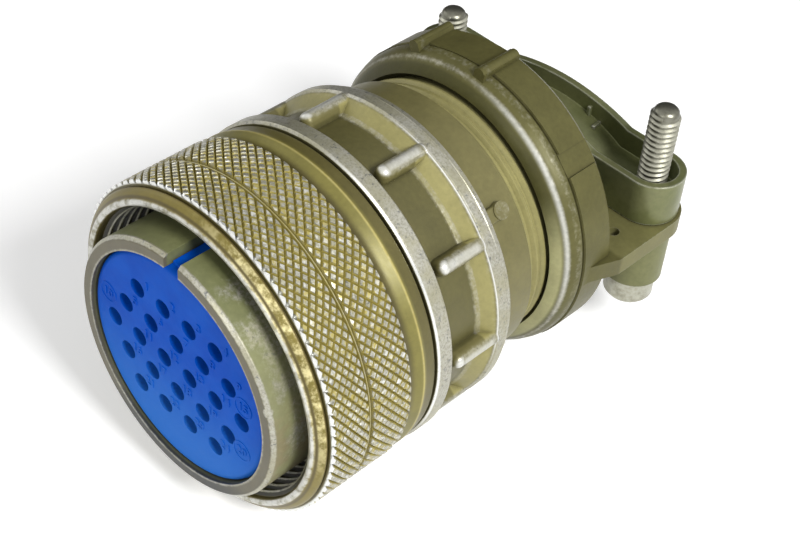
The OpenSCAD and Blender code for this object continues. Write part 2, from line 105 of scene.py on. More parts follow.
# %% [markdown]
# ## The lamps
#
# Worn metal shows its shape by what it mirrors. A soft lamp high on the
# right draws the long highlights along the turned edges, a weaker one looks
# into the barrel from the front, and the weakest keeps the left side
# readable. A sun would do it more simply, but its highlights are hard and
# thin, while a square lamp's are as broad as the lamp is wide. Lamps, floor
# and card are placed in metres.

# %% Lamps
def area_lamp(name, place, target, size, power):
    """A soft square lamp at a place in metres, turned towards a target."""
    data = bpy.data.lights.new(name, "AREA")
    data.shape = "SQUARE"
    data.size = size
    data.energy = power
    lamp = bpy.data.objects.new(name, data)
    facing = (Vector(target) - Vector(place)).to_track_quat("-Z", "Y")
    lamp.matrix_world = Matrix.LocRotScale(Vector(place), facing, None)
    bpy.context.scene.collection.objects.link(lamp)
    print(f"{name}: {power} W, {size} m wide")


bpy.context.scene.view_settings.view_transform = "Standard"
middle = Vector((0, 0, AXIS_Z)) * MM
area_lamp("key_lamp", (0.40, -0.06, 0.38), middle, 0.16, 3.2)
area_lamp("front_lamp", (0.05, -0.45, 0.22), middle, 0.20, 0.6)
area_lamp("left_lamp", (-0.45, -0.15, 0.25), middle, 0.25, 0.25)

# %% [markdown]
# ## Dark card, background and floor
#
# The background is white by its own colour, for the camera and for mirrored
# rays, so no lamp has to be strong enough to bleach the olive coat. The
# floor glows a little for the same reason and still takes the shadow. A dark
# felt card stands behind on the left, out of the picture: it gives the
# turned surfaces something dark to mirror on their far side, as a dim room
# does. Floor and card are both plain sheets, so one helper makes them.

# %% Sheets and their paint
def sheet(name, size, lean=0, turned=0, place=(0, 0, 0)):
    """A flat square that reaches `size` metres each way, leant back, turned and placed."""
    bm = bmesh.new()
    bmesh.ops.create_grid(bm, x_segments=1, y_segments=1, size=size)
    for degrees, about in ((lean, "X"), (turned, "Z")):
        turning = Matrix.Rotation(radians(degrees), 3, about)
        bmesh.ops.rotate(bm, verts=bm.verts, cent=(0, 0, 0), matrix=turning)
    bmesh.ops.translate(bm, verts=bm.verts, vec=place)
    mesh = bpy.data.meshes.new(name)
    bm.to_mesh(mesh)
    bm.free()
    made = bpy.data.objects.new(name, mesh)
    bpy.context.scene.collection.objects.link(made)
    print(f"{name}: {2 * size} m wide")
    return made


def paint_sheet(shown, name, grey, rough, gloss):
    """Gives a sheet a plain grey paint and returns the node tree and its shader."""
    material = bpy.data.materials.new(name)
    material.use_nodes = True
    shader = material.node_tree.nodes["Principled BSDF"]
    shader.inputs["Base Color"].default_value = (grey, grey, grey, 1)
    shader.inputs["Roughness"].default_value = rough
    shader.inputs["Specular IOR Level"].default_value = gloss
    shown.data.materials.append(material)
    return material.node_tree, shader


# %% Dark card
card = sheet("dark_card", 0.38, lean=70, turned=42, place=(-0.30, 0.32, 0.30))
card.visible_camera = False
paint_sheet(card, "dark_felt", 0.02, 1.0, 0.0)

# %% Background
def seen_by(tree, *kinds):
    """1 for rays of any of these kinds, 0 for the others."""
    rays = tree.nodes.new("ShaderNodeLightPath")
    found = rays.outputs[kinds[0]]
    for kind in kinds[1:]:
        wider = tree.nodes.new("ShaderNodeMath")
        wider.operation = "MAXIMUM"
        tree.links.new(found, wider.inputs[0])
        tree.links.new(rays.outputs[kind], wider.inputs[1])
        found = wider.outputs[0]
    return found


WORLD_FILL = 0.42
world = bpy.data.worlds.new("studio")
world.use_nodes = True
bpy.context.scene.world = world
world_tree = world.node_tree
background = world_tree.nodes["Background"]
background.inputs["Color"].default_value = (1, 1, 1, 1)
fill = world_tree.nodes.new("ShaderNodeMapRange")
fill.inputs["To Min"].default_value = WORLD_FILL
fill.inputs["To Max"].default_value = 1.0
seen = seen_by(world_tree, "Is Camera Ray", "Is Glossy Ray", "Is Transmission Ray")
world_tree.links.new(seen, fill.inputs["Value"])
world_tree.links.new(fill.outputs[0], background.inputs["Strength"])
print(f"background white where it is seen, {WORLD_FILL} as light on the object")

# %% Floor
FLOOR_GLOW = 0.30
floor = sheet("floor", 1.2)
white_tree, paint = paint_sheet(floor, "white_floor", 0.86, 0.9, 0.1)
paint.inputs["Emission Color"].default_value = (1, 1, 1, 1)
glow = white_tree.nodes.new("ShaderNodeMath")
glow.operation = "MULTIPLY"
glow.inputs[1].default_value = FLOOR_GLOW
white_tree.links.new(seen_by(white_tree, "Is Camera Ray", "Is Glossy Ray"), glow.inputs[0])
white_tree.links.new(glow.outputs[0], paint.inputs["Emission Strength"])
print(f"floor glows {FLOOR_GLOW} for the camera and in mirrors")

# %% [markdown]
# ## How the finishes are made
#
# The plug's metal wears by position: edges that stand out rub bare, tips of
# the knurl go pale, hollows keep their olive coat and are darkened. Some
# places also carry painted shade and painted highlights, set by the side of
# the axis they face. On a turned part a position is a radius and a station,
# so each finish first measures those two from the object coordinates, and
# its masks are simple steps of radius, of station, of the side a place
# faces, or of the distance to a sharp edge. Painting the masks by hand would
# need an unwrapped mesh for every part. Two small classes keep the many
# nodes readable: the first adds nodes of any kind, and the second adds the
# masks.

# %% Colours
def tone(red, green, blue):
    """A colour given as it looks, 0 to 255, as the linear values a shader takes."""
    def linear(part):
        part /= 255
        return part / 12.92 if part <= 0.04045 else ((part + 0.055) / 1.055) ** 2.4
    return (linear(red), linear(green), linear(blue), 1)


BARE = tone(170, 168, 156)
BARE_DULL = tone(124, 122, 106)
BARE_STAINED = tone(150, 146, 116)
PITS = tone(88, 90, 92)
# Near-white for polished edges, also used for the painted highlights on some edges.
POLISH_AND_HIGHLIGHT = tone(226, 227, 224)
# The dark tone that corners, gaps and thread roots are darkened towards.
HOLLOW_DARK = tone(36, 34, 24)
print(f"bare metal reflects {BARE[1]:.2f} of the light, grime {HOLLOW_DARK[1]:.3f}")

# %% Adding nodes to a material
class NodeMaterial:
    """A material that is built node by node."""

    def __init__(self, name):
        self.material = bpy.data.materials.new(name)
        self.material.use_nodes = True
        self.tree = self.material.node_tree
        self.shader = self.tree.nodes["Principled BSDF"]
        self.place = self.tree.nodes.new("ShaderNodeTexCoord").outputs["Object"]

    def feed(self, socket, value):
        """Links a socket, or gives it a plain value."""
        if isinstance(value, bpy.types.NodeSocket):
            self.tree.links.new(value, socket)
        else:
            socket.default_value = value

    def set(self, name, value):
        """Feeds the shader's input of this name."""
        self.feed(self.shader.inputs[name], value)

    def node(self, kind, inputs=(), **settings):
        """Adds a node, feeds its inputs by name or number and returns it."""
        made = self.tree.nodes.new("ShaderNode" + kind)
        for name, value in settings.items():
            setattr(made, name, value)
        for key, value in dict(inputs).items():
            self.feed(made.inputs[key], value)
        return made

    def math(self, operation, first, second):
        """A Math node's result."""
        return self.node("Math", {0: first, 1: second}, operation=operation).outputs[0]

    def vector(self, operation, first, second=(0, 0, 0), output="Vector"):
        """A Vector Math node's result."""
        return self.node("VectorMath", {0: first, 1: second}, operation=operation).outputs[output]

    def blend(self, mask, first, second):
        """The first colour where the mask is 0, the second where it is 1."""
        return self.node("Mix", {0: mask, 6: first, 7: second}, data_type="RGBA").outputs[2]

    def level(self, mask, low, high):
        """A mask's 0 to 1 turned into low to high."""
        return self.node("MapRange", {"Value": mask, "To Min": low, "To Max": high}).outputs[0]

    def relief(self, height, depth):
        """Bumps of a depth in millimetres."""
        bump = self.node("Bump", {"Height": height, "Distance": depth * MM, "Strength": 1.0})
        self.set("Normal", bump.outputs[0])

    def put_on(self, *objects):
        """Gives the material to objects, in every slot they have."""
        for shown in objects:
            if shown.data.materials:
                for i in range(len(shown.data.materials)):
                    shown.data.materials[i] = self.material
            else:
                shown.data.materials.append(self.material)


# %% Masks
class Finish(NodeMaterial):
    """A material whose masks follow the object's places, corners and noise."""

    CORNER_RAYS = 6

    def dim(self, mask, amount):
        """A mask at a part of its strength."""
        return self.math("MULTIPLY", mask, amount)

    def both(self, first, second):
        """1 where both masks are 1."""
        return self.math("MULTIPLY", first, second)

    def either(self, first, second):
        """The stronger of two masks."""
        return self.math("MAXIMUM", first, second)

    def step(self, value, start, end):
        """Rises smoothly from 0 at start to 1 at end."""
        low, high, to_low, to_high = (start, end, 0, 1) if start < end else (end, start, 1, 0)
        return self.node("MapRange", {"Value": value, "From Min": low, "From Max": high,
                                      "To Min": to_low, "To Max": to_high},
                         interpolation_type="SMOOTHSTEP").outputs[0]

    def band(self, value, start, end, soft):
        """1 between start and end, 0 outside, with soft borders."""
        rise = self.step(value, start - soft, start + soft)
        fall = self.step(value, end + soft, end - soft)
        return self.math("MULTIPLY", rise, fall)

    def radius(self):
        """Millimetres from the connector's axis."""
        away = self.vector("SUBTRACT", self.place, (0, 0, AXIS_Z * MM))
        across = self.vector("MULTIPLY", away, (PER_METRE, 0, PER_METRE))
        return self.vector("LENGTH", across, output="Value")

    def station(self):
        """Millimetres behind the mating face."""
        y = self.node("SeparateXYZ", {0: self.place}).outputs["Y"]
        return self.math("SUBTRACT", self.math("MULTIPLY", y, PER_METRE), FACE_Y)

    def height(self):
        """Millimetres above the axis."""
        z = self.node("SeparateXYZ", {0: self.place}).outputs["Z"]
        return self.math("SUBTRACT", self.math("MULTIPLY", z, PER_METRE), AXIS_Z)

    def facing(self, degrees, low, high):
        """1 on the side that looks this many degrees clockwise from the top, 0 elsewhere."""
        away = self.vector("SUBTRACT", self.place, (0, 0, AXIS_Z * MM))
        outward = self.vector("NORMALIZE", self.vector("MULTIPLY", away, (1, 0, 1)))
        side = (sin(radians(degrees)), 0, cos(radians(degrees)))
        return self.step(self.vector("DOT_PRODUCT", outward, side, "Value"), low, high)

    def distance(self, x, s, z):
        """Millimetres from a point at x, station s and height z from the axis."""
        point = (x * MM, (FACE_Y + s) * MM, (AXIS_Z + z) * MM)
        return self.math("MULTIPLY", self.vector("DISTANCE", self.place, point, "Value"), PER_METRE)

    def grain(self, size, detail=3.0, rough=0.55, stretch=(1, 1, 1), seed=0.0):
        """Noise of about this size in millimetres, from 0 to 1."""
        place = self.place
        if stretch != (1, 1, 1) or seed:
            place = self.node("Mapping", {"Vector": place, "Scale": stretch,
                                          "Location": (seed, seed, seed)}).outputs[0]
        return self.node("TexNoise", {"Vector": place, "Scale": PER_METRE / size, "Detail": detail,
                                      "Roughness": rough}).outputs[0]

    def edges(self, reach):
        """1 on edges that stand out, 0 on flats, from the wall's own thinness."""
        inside = self.node("AmbientOcclusion", {"Distance": reach * MM}, samples=self.CORNER_RAYS,
                           inside=True, only_local=True).outputs["AO"]
        return self.step(inside, 0.92, 0.45)

    def hollows(self, reach):
        """1 deep in corners and gaps, 0 in the open."""
        open_sky = self.node("AmbientOcclusion", {"Distance": reach * MM}, samples=self.CORNER_RAYS)
        return self.step(open_sky.outputs["AO"], 0.85, 0.25)


# %% [markdown]
# ## The coated metal
#
# Barrel, nut, bell, clamp and saddle are light alloy under the same thin
# olive plating. One function gives them all the same bare metal, pits,
# stains, darkening deep in the hollows and fine texture, and each part hands
# it three functions of its own: where it has rubbed bare, what colour its
# coat has, and where an edge shines. Some of these also paint light: shade
# and highlights in the coat, a highlight among the barrel's rubbed spots,
# and highlight lines among the shining edges. One shared recipe keeps the
# parts looking like one family.

# %% Coated metal
def coated_metal(name, wear_of, coat_of, polish_and_highlight_of=None, darkening_reach=1.2, darkening=0.9, gloss=0.35,
                 cast=0.0, lathe=0.0, sheen=0.18, satin=0.40, seed=0.0):
    """Olive plating over light alloy. coat_of(finish) returns the coat's colour,
    with painted shade and highlights on some parts, wear_of where it has rubbed
    bare, on the barrel also with a painted highlight, and polish_and_highlight_of
    where an edge shines, as polish and, on the bell and the clamp, as a painted
    highlight. cast adds roughness to the surface, lathe adds turning marks, and
    seed moves the patterns."""
    f = Finish(name)
    broad = f.grain(5.0, 3.0, 0.6, seed=seed)
    fine = f.grain(0.6, 4.0, 0.6, seed=seed + 0.3)
    mottled = f.both(f.level(broad, 0.74, 1.26), f.level(fine, 0.80, 1.20))
    coat_tone = f.node("VectorMath", {0: coat_of(f), 3: mottled}, operation="SCALE").outputs[0]
    worn = f.step(f.math("ADD", wear_of(f), f.level(fine, -0.40, 0.40)), 0.20, 0.85)
    speckle = f.step(f.grain(0.3, 4.0, 0.75, seed=seed + 0.7), 0.40, 0.70)
    pitted = f.step(f.grain(0.75, 5.0, 0.75, seed=seed + 0.9), 0.56, 0.66)
    stained = f.dim(f.step(broad, 0.42, 0.62), 0.5)
    bare_tone = f.blend(stained, f.blend(f.dim(speckle, 0.8), BARE, BARE_DULL), BARE_STAINED)
    bare_tone = f.blend(f.dim(pitted, 0.75), bare_tone, PITS)
    colour = f.blend(worn, coat_tone, bare_tone)
    # Polished edges, and on the bell and the clamp painted highlights, in near-white.
    polish_and_highlight = polish_and_highlight_of(f) if polish_and_highlight_of else 0.0
    colour = f.blend(polish_and_highlight, colour, POLISH_AND_HIGHLIGHT)
    # Darker deep in corners and gaps, patchy by the broad noise.
    darkened = f.dim(f.both(f.hollows(darkening_reach), f.level(broad, 0.55, 0.95)), darkening)
    f.set("Base Color", f.blend(darkened, colour, HOLLOW_DARK))
    shine = f.either(f.level(worn, sheen, 0.66), f.dim(polish_and_highlight, 0.9))
    f.set("Metallic", f.both(shine, f.level(darkened, 1.0, 0.2)))
    rough = f.math("ADD", f.level(worn, satin, 0.38), f.level(fine, -0.06, 0.10))
    f.set("Roughness", f.math("SUBTRACT", rough, f.dim(polish_and_highlight, 0.12)))
    f.set("Specular IOR Level", gloss)
    height = f.level(fine, 0.0, 0.3 + cast)
    if lathe:
        turned_lines = f.grain(0.35, 2.0, 0.6, stretch=(0.05, 1, 0.05), seed=seed)
        height = f.math("ADD", height, f.level(turned_lines, 0.0, lathe))
    f.relief(height, 0.03)
    return f


# %% [markdown]
# ## Wear and coat of the barrel
#
# The barrel is pushed into the other half of the connector, so its rim is
# bare all round, least at the bottom, and its upper right side is rubbed
# through in spots, which also paint the broad highlight that side shows. Two
# noises make the spots: a broad one for the patches and a fine one for their
# ragged borders. Its coat is painted darker on top and at the bottom of the
# rim, as shade.

# %% The barrel
def barrel_wear(f):
    """Bare at the rim and just inside it, in one dent, and in patches on the right side that are partly wear
    and partly a painted highlight.
    """
    r, s = f.radius(), f.station()
    less_below = f.level(f.step(f.height(), -15.5, -9.0), 0.5, 1.0)
    rim = f.both(f.both(f.step(s, 0.9, 0.3), f.step(r, 16.45, 16.8)), less_below)
    mouth = f.dim(f.both(f.step(s, 0.25, 0.0), f.step(r, 15.7, 15.3)), 0.6)
    # Upper right side: rubbed patches that also paint the broad highlight this side shows.
    rubbed = f.both(f.band(s, 0.8, 6.0, 1.2), f.both(f.step(r, 16.6, 16.95), f.facing(58, 0.55, 0.92)))
    ragged = f.level(f.step(f.grain(0.5, 5.0, 0.75), 0.35, 0.7), 0.55, 1.0)
    patches = f.both(f.step(f.grain(4.0, 2.0, 0.5), 0.30, 0.65), ragged)
    side = f.dim(f.both(rubbed, patches), 0.80)
    dent = f.step(f.distance(15.9, 0.1, 5.6), 0.9, 0.4)
    return f.either(f.either(rim, mouth), f.either(side, dent))


def barrel_coat(f):
    """The rim and the lower right of the barrel are browner. The top is painted darker as shade, and so is
    the bottom of the rim.
    """
    s = f.station()
    low = f.both(f.facing(105, 0.75, 0.98), f.step(f.grain(2.5, 3.0, 0.6), 0.35, 0.6))
    # Painted shade: the top of the barrel is darker than its sides.
    side = f.blend(f.facing(0, 0.4, 0.95), tone(124, 125, 90), tone(108, 111, 74))
    side = f.blend(f.dim(low, 0.7), side, tone(118, 106, 78))
    # Painted shade: the bottom of the rim is darker.
    rim = f.blend(f.step(f.height(), -9.0, -14.5), tone(94, 89, 70), tone(62, 62, 56))
    return f.blend(f.step(s, 0.65, 0.3), side, rim)


barrel_finish = coated_metal("worn_barrel_olive", barrel_wear, barrel_coat, seed=0.0, lathe=0.3)
barrel_finish.put_on(nodes["plug_shell"])
print(f"barrel: {len(barrel_finish.tree.nodes)} nodes")

# %% [markdown]
# ## Wear and coat of the nut
#
# The nut is what the hand turns. Its knurl is pale at the tips and yellow in
# the grooves, and the teeth at its front edge shine. The hollow flare behind
# it is painted darker as shade, with a painted highlight along its crest,
# the bore is painted dark, and the nose carries painted lines of shade and
# pale flecks that are partly a painted highlight. Most masks are measured
# from the nut's front or rear edge, so they stay in place when the nut grows
# longer or shorter at its other end.

# %% Where the nut's stretches lie
BORE, KNURL_ROOT, KNURL_TIP = 19.05, 21.36, 22.34
BAND_1 = (NUT_FRONT + 1.75, NUT_FRONT + 7.0)
BAND_2 = (NUT_FRONT + 7.85, NUT_FRONT + 13.65)
FLARE = NUT_REAR - 4.4
print(f"knurl from {BAND_1[0]:.2f} to {BAND_1[1]:.2f} and from {BAND_2[0]:.2f} to {BAND_2[1]:.2f}")

# %% The nut
def nut_coat(f):
    """The knurl's grooves are yellower than the rest. The bore is painted dark as shade, and so are the
    flare's hollow, its rear slope and two lines on the nose. A painted highlight lights the flare's crest
    and, mixed with wear, flecks on the nose.
    """
    r, s = f.radius(), f.station()
    knurled = f.band(s, BAND_1[0] - 0.1, BAND_2[1], 0.1)
    # Painted shade: the flare's hollow is darker than the band before it.
    shaded_valley = f.blend(f.step(s, NUT_REAR - 3.9, NUT_REAR - 2.9), tone(78, 71, 36), tone(112, 106, 54))
    # Painted shade on the flare's rear slope, behind its crest.
    plain = f.blend(f.step(s, NUT_REAR - 1.95, NUT_REAR - 1.45), shaded_valley, tone(86, 80, 42))
    # Painted highlight: a pale line along the flare's crest.
    plain = f.blend(f.band(s, NUT_REAR - 2.15, NUT_REAR - 1.95, 0.15), plain, tone(168, 156, 92))
    outside = f.blend(knurled, plain, tone(158, 146, 78))
    # Pale flecks on the nose's upper right side, partly wear and partly a painted highlight.
    flecks_and_highlights = f.both(f.facing(50, 0.55, 0.95), f.step(f.grain(1.2, 5.0, 0.7), 0.38, 0.62))
    gold = f.blend(flecks_and_highlights, tone(112, 101, 46), tone(204, 193, 142))
    nose = f.blend(f.step(s, NUT_FRONT + 1.5, NUT_FRONT + 1.3), outside, gold)
    # Painted shade: two dark lines in the grooves of the nose.
    nose = f.blend(f.band(s, NUT_FRONT + 0.3, NUT_FRONT + 0.5, 0.08), nose, tone(84, 74, 38))
    nose = f.blend(f.band(s, NUT_FRONT + 1.15, NUT_FRONT + 1.45, 0.08), nose, tone(92, 80, 38))
    # Painted shade: the bore inside the nut is dark.
    return f.blend(f.step(r, 19.2, 18.95), nose, tone(48, 46, 34))


def nut_polish(f):
    """The teeth at the knurl's front edge, some of its tips and the lip of the nose shine."""
    r, s = f.radius(), f.station()
    teeth = f.both(f.band(s, NUT_FRONT + 1.5, NUT_FRONT + 1.95, 0.06), f.step(r, 21.3, 21.5))
    patches = f.step(f.grain(1.6, 4.0, 0.6, seed=0.5), 0.36, 0.56)
    lip = f.both(f.step(s, NUT_FRONT + 0.34, NUT_FRONT + 0.10), patches)
    rubbed = f.step(f.grain(0.7, 3.0, 0.6, seed=3.0), 0.50, 0.66)
    tips = f.both(f.both(f.step(r, 21.62, 21.72), rubbed), f.band(s, NUT_FRONT + 1.8, FLARE, 0.05))
    teeth = f.either(teeth, f.dim(tips, 0.6))
    return f.either(f.dim(teeth, 0.9), f.dim(f.both(lip, f.step(r, 19.0, 19.3)), 0.5))


def nut_wear(f):
    """Bare at the knurl's tips and front edge, the nose's lip and the thread's crests, and a
    little on the flare's ridge and between the bands."""
    r, s = f.radius(), f.station()
    rubbed = f.step(f.grain(0.9, 2.0, 0.5, seed=7.0), 0.30, 0.62)
    tips = f.both(f.step(r, 21.60, 21.70), f.level(rubbed, 0.30, 1.0))
    crests = f.dim(f.step(r, 18.75, 18.60), 0.8)
    knurl = f.both(tips, f.band(s, NUT_FRONT + 1.4, FLARE, 0.05))
    front_edge = f.both(f.band(s, NUT_FRONT + 1.45, NUT_FRONT + 2.05, 0.1), f.step(r, 21.2, 21.45))
    lip = f.both(f.step(s, NUT_FRONT + 0.30, NUT_FRONT + 0.05), f.step(r, 19.1, 19.3))
    ridge = f.dim(f.band(s, NUT_REAR - 2.2, NUT_REAR - 1.95, 0.12), 0.3)
    between = f.dim(f.both(f.band(s, BAND_1[1] + 0.3, BAND_2[0], 0.1), f.step(r, 21.35, 21.45)), 0.5)
    return f.either(f.either(f.either(knurl, crests), f.dim(front_edge, 1.3)),
                    f.either(f.dim(lip, 0.7), f.either(ridge, between)))


nut_finish = coated_metal("worn_nut_olive", nut_wear, nut_coat, nut_polish, darkening_reach=0.5, darkening=0.3,
                          seed=1.1, lathe=0.2)
print(f"nut: {len(nut_finish.tree.nodes)} nodes")

# %% [markdown]
# ## Wear and coat of the end bell
#
# The bell is cast, with pockets between ribs and a raised ring at each end
# of them. The rings and rib tops are rubbed, the pockets keep a darker coat,
# and a painted highlight runs along the front edge of each ring on its right
# side. Its distances from the axis tell ring, rib and floor apart, and the
# stations tell where each of them ends.

# %% The end bell
def bell_wear(f):
    """Bare on both rings, the ribs, the foot of the pockets' rear slope and the nub."""
    r, s = f.radius(), f.station()
    front_ring = f.both(f.step(r, 21.2, 21.5), f.step(s, BELL_FRONT + 2.6, BELL_FRONT + 2.1))
    ribs = f.dim(f.both(f.step(r, 20.4, 21.3), f.band(s, BELL_FRONT + 3.0, BELL_FRONT + 10.4, 0.3)), 0.6)
    rear_edge = f.both(f.step(r, 20.9, 21.2), f.band(s, BELL_FRONT + 10.3, BELL_FRONT + 10.9, 0.12))
    rear_stretch = f.band(s, BELL_FRONT + 10.4, BELL_FRONT + 13.4, 0.2)
    rear_ring = f.dim(f.both(f.step(r, 20.2, 20.6), rear_stretch), 0.80)
    foot_stretch = f.band(s, BELL_FRONT + 8.2, BELL_FRONT + 9.2, 0.2)
    foot = f.dim(f.both(f.band(r, 19.35, 19.75, 0.1), foot_stretch), 0.45)
    nub = f.dim(f.both(f.step(r, 19.4, 19.8), f.step(s, BELL_FRONT + 14.6, BELL_FRONT + 15.6)), 0.36)
    return f.either(f.either(front_ring, rear_edge), f.either(f.either(ribs, rear_ring), f.either(foot, nub)))


def bell_polish(f):
    """Thin bright lines at the front edges of both rings, painted highlights on their right side only, and a
    weaker polish on the ribs.
    """
    r, s = f.radius(), f.station()
    front_edge = f.both(f.step(s, BELL_FRONT + 0.30, BELL_FRONT + 0.16), f.band(r, 21.4, 21.75, 0.06))
    # Painted highlight: the front ring's bright edge line, on the right side only.
    front = f.both(front_edge, f.facing(62, 0.45, 0.8))
    rear_edge = f.both(f.step(r, 21.05, 21.2), f.facing(52, 0.6, 0.85))
    # Painted highlight: the rear ring's bright line, on the right side only.
    rear = f.both(f.band(s, BELL_FRONT + 10.50, BELL_FRONT + 10.60, 0.05), rear_edge)
    ends = f.both(f.band(s, BELL_FRONT + 3.0, BELL_FRONT + 4.6, 0.3), f.step(r, 20.9, 21.3))
    tops = f.both(f.band(s, BELL_FRONT + 4.6, BELL_FRONT + 9.8, 0.4), f.step(r, 21.2, 21.45))
    ribs = f.either(f.dim(ends, 0.6), f.dim(tops, 0.35))
    return f.either(f.either(front, rear), ribs)


def bell_coat(f):
    """The pockets' rear slope and the thread are paler and yellower than the rest."""
    r, s = f.radius(), f.station()
    slope = f.both(f.band(s, BELL_FRONT + 8.6, BELL_FRONT + 10.4, 0.2), f.step(r, 21.2, 20.9))
    thread = f.dim(f.step(s, BELL_FRONT + 19.0, BELL_FRONT + 19.4), 0.9)
    floors = f.both(f.band(s, BELL_FRONT + 2.4, BELL_FRONT + 8.4, 0.2), f.step(r, 20.2, 19.8))
    plain = f.blend(floors, tone(104, 99, 61), tone(86, 82, 47))
    return f.blend(f.either(slope, thread), plain, tone(138, 132, 84))


bell_finish = coated_metal("worn_bell_olive", bell_wear, bell_coat, bell_polish, seed=2.3, cast=0.3)
bell_finish.put_on(nodes["end_bell"])
print(f"bell: {len(bell_finish.tree.nodes)} nodes")

# %% [markdown]
# ## Wear and coat of the clamp and its saddle
#
# The clamp's ring screws onto the bell, and two screws draw the loose saddle
# towards its ears to hold the cable. The crest of the ring's slope is bare in
# part all round, as wear and as painted highlight both, and a brighter
# painted highlight line runs along it on the right. The slope below it is
# painted paler on the lower right, as a reflection. The edges behind it are
# partly bare from handling. The saddle is the smoothest casting and shines
# along its rim. Its shape doesn't follow the connector's axis, so its wear
# follows its own edges, which are found from how thin the wall is there.

# %% The clamp
CLAMP_MOUTH = BELL_REAR - 5.3


def clamp_wear(f):
    """Bare along the crest of the ring's slope, partly as wear and partly as a painted highlight, on its rear
    and on the edges behind it.
    """
    r, s = f.radius(), f.station()
    # The crest: bare all round, partly wear and partly a painted highlight.
    crest = f.both(f.band(s, CLAMP_MOUTH + 1.0, CLAMP_MOUTH + 1.6, 0.4), f.step(r, 19.0, 19.6))
    rear_stretch = f.band(s, CLAMP_MOUTH + 2.1, CLAMP_MOUTH + 3.2, 0.3)
    rear = f.dim(f.both(rear_stretch, f.step(r, 20.3, 20.7)), 0.3)
    handled = f.both(f.edges(0.35), f.step(s, BELL_REAR + 3.0, BELL_REAR + 4.0))
    return f.either(f.dim(handled, 0.4), f.either(f.dim(crest, 0.55), rear))


def clamp_polish(f):
    """A painted highlight: a bright line along the crest, on the right."""
    r, s = f.radius(), f.station()
    # Painted highlight along the crest, on the right side only.
    line = f.both(f.band(s, CLAMP_MOUTH + 1.10, CLAMP_MOUTH + 1.35, 0.34), f.step(r, 19.0, 19.6))
    return f.dim(f.both(line, f.facing(60, 0.5, 0.95)), 0.72)


def clamp_coat(f):
    """The ring is dark, its slope painted paler on the lower right as a reflection, the ears are browner, and
    the bosses under them paler and greyer.
    """
    s, z = f.station(), f.height()
    behind = f.step(s, BELL_REAR + 3.4, BELL_REAR + 4.2)
    # Painted reflection: the slope is paler on its lower right side.
    slope = f.blend(f.facing(105, 0.6, 0.95), tone(66, 64, 32), tone(146, 144, 104))
    ring = f.blend(f.step(s, BELL_REAR - 4.3, BELL_REAR - 4.7), tone(84, 81, 46), slope)
    ears = f.blend(behind, ring, tone(106, 103, 64))
    return f.blend(f.both(behind, f.step(z, -1.2, -2.6)), ears, tone(108, 109, 74))


clamp_finish = coated_metal("worn_clamp_olive", clamp_wear, clamp_coat, clamp_polish, gloss=0.2,
                            seed=3.7, cast=0.3)
clamp_finish.put_on(nodes["clamp_body"])
print(f"clamp: {len(clamp_finish.tree.nodes)} nodes, its mouth at {CLAMP_MOUTH:.2f}")

# %% The saddle
def saddle_wear(f):
    """Partly bare along every edge."""
    return f.dim(f.edges(0.4), 0.6)


def saddle_polish(f):
    """The saddle's rim shines where hands and cable have rubbed it."""
    patches = f.step(f.grain(3.0, 3.0, 0.6, seed=2.0), 0.30, 0.60)
    return f.dim(f.both(f.edges(0.3), patches), 0.55)


def saddle_coat(f):
    """Two close olives in broad clouds."""
    return f.blend(f.step(f.grain(7.0, 3.0, 0.6), 0.35, 0.65), tone(100, 104, 66), tone(110, 112, 76))


saddle_finish = coated_metal("worn_saddle_olive", saddle_wear, saddle_coat, saddle_polish, gloss=0.5,
                             sheen=0.40, satin=0.30, darkening_reach=0.7, darkening=0.15, seed=4.9, cast=0.1)
saddle_finish.put_on(nodes["saddle"])
print(f"saddle: {len(saddle_finish.tree.nodes)} nodes")

# %% [markdown]
# ## Plastic and rubber
#
# The insert that faces out is moulded in blue, the one behind it and the
# gasket are nearly black. These are the easiest finishes here: two close
# shades in soft clouds and a very shallow grain are enough, and the blue
# face has a painted reflection that makes it paler towards its bottom. They
# carry no wear, because the shell round them keeps hands away.

# %% Plastic and rubber
def plastic(name, colour, shade, rough, gloss=0.5, low=None):
    """Moulded plastic in two close shades, and a paler third one low on the face, a painted reflection, if it
    is given.
    """
    f = Finish(name)
    cloud = f.grain(4.0, 3.0, 0.5)
    mixed = f.blend(f.step(cloud, 0.3, 0.75), colour, shade)
    if low:
        mixed = f.blend(f.step(f.height(), 4.0, -13.0), mixed, low)
    f.set("Base Color", mixed)
    f.set("Roughness", f.level(f.grain(0.8, 3.0, 0.6), rough - 0.06, rough + 0.10))
    f.set("Specular IOR Level", gloss)
    f.relief(f.grain(0.5, 3.0, 0.6), 0.01)
    return f


# The paler blue low on the face is a painted reflection.
blue_finish = plastic("blue_insert_plastic", tone(2, 70, 172), tone(8, 80, 182), 0.42, gloss=0.04,
                      low=tone(38, 104, 190))
dark_finish = plastic("dark_insert_plastic", tone(34, 38, 44), tone(44, 48, 54), 0.5)
rubber_finish = plastic("gasket_rubber", tone(28, 28, 28), tone(38, 38, 36), 0.75)
blue_finish.put_on(nodes["front_insert"])
dark_finish.put_on(nodes["rear_insert"])
rubber_finish.put_on(nodes["bell_gasket"])
print("plastic on both inserts, rubber on the gasket")

# %% [markdown]
# ## Gold and steel
#
# The contacts are gold plated, the snap ring is spring steel, and the clamp
# screws are worn steel, darker in the roots of their threads and at their
# tips. All are bare metal, so they share one function: a cloud between two
# shades of the metal, and a darker tone deep in the hollows.

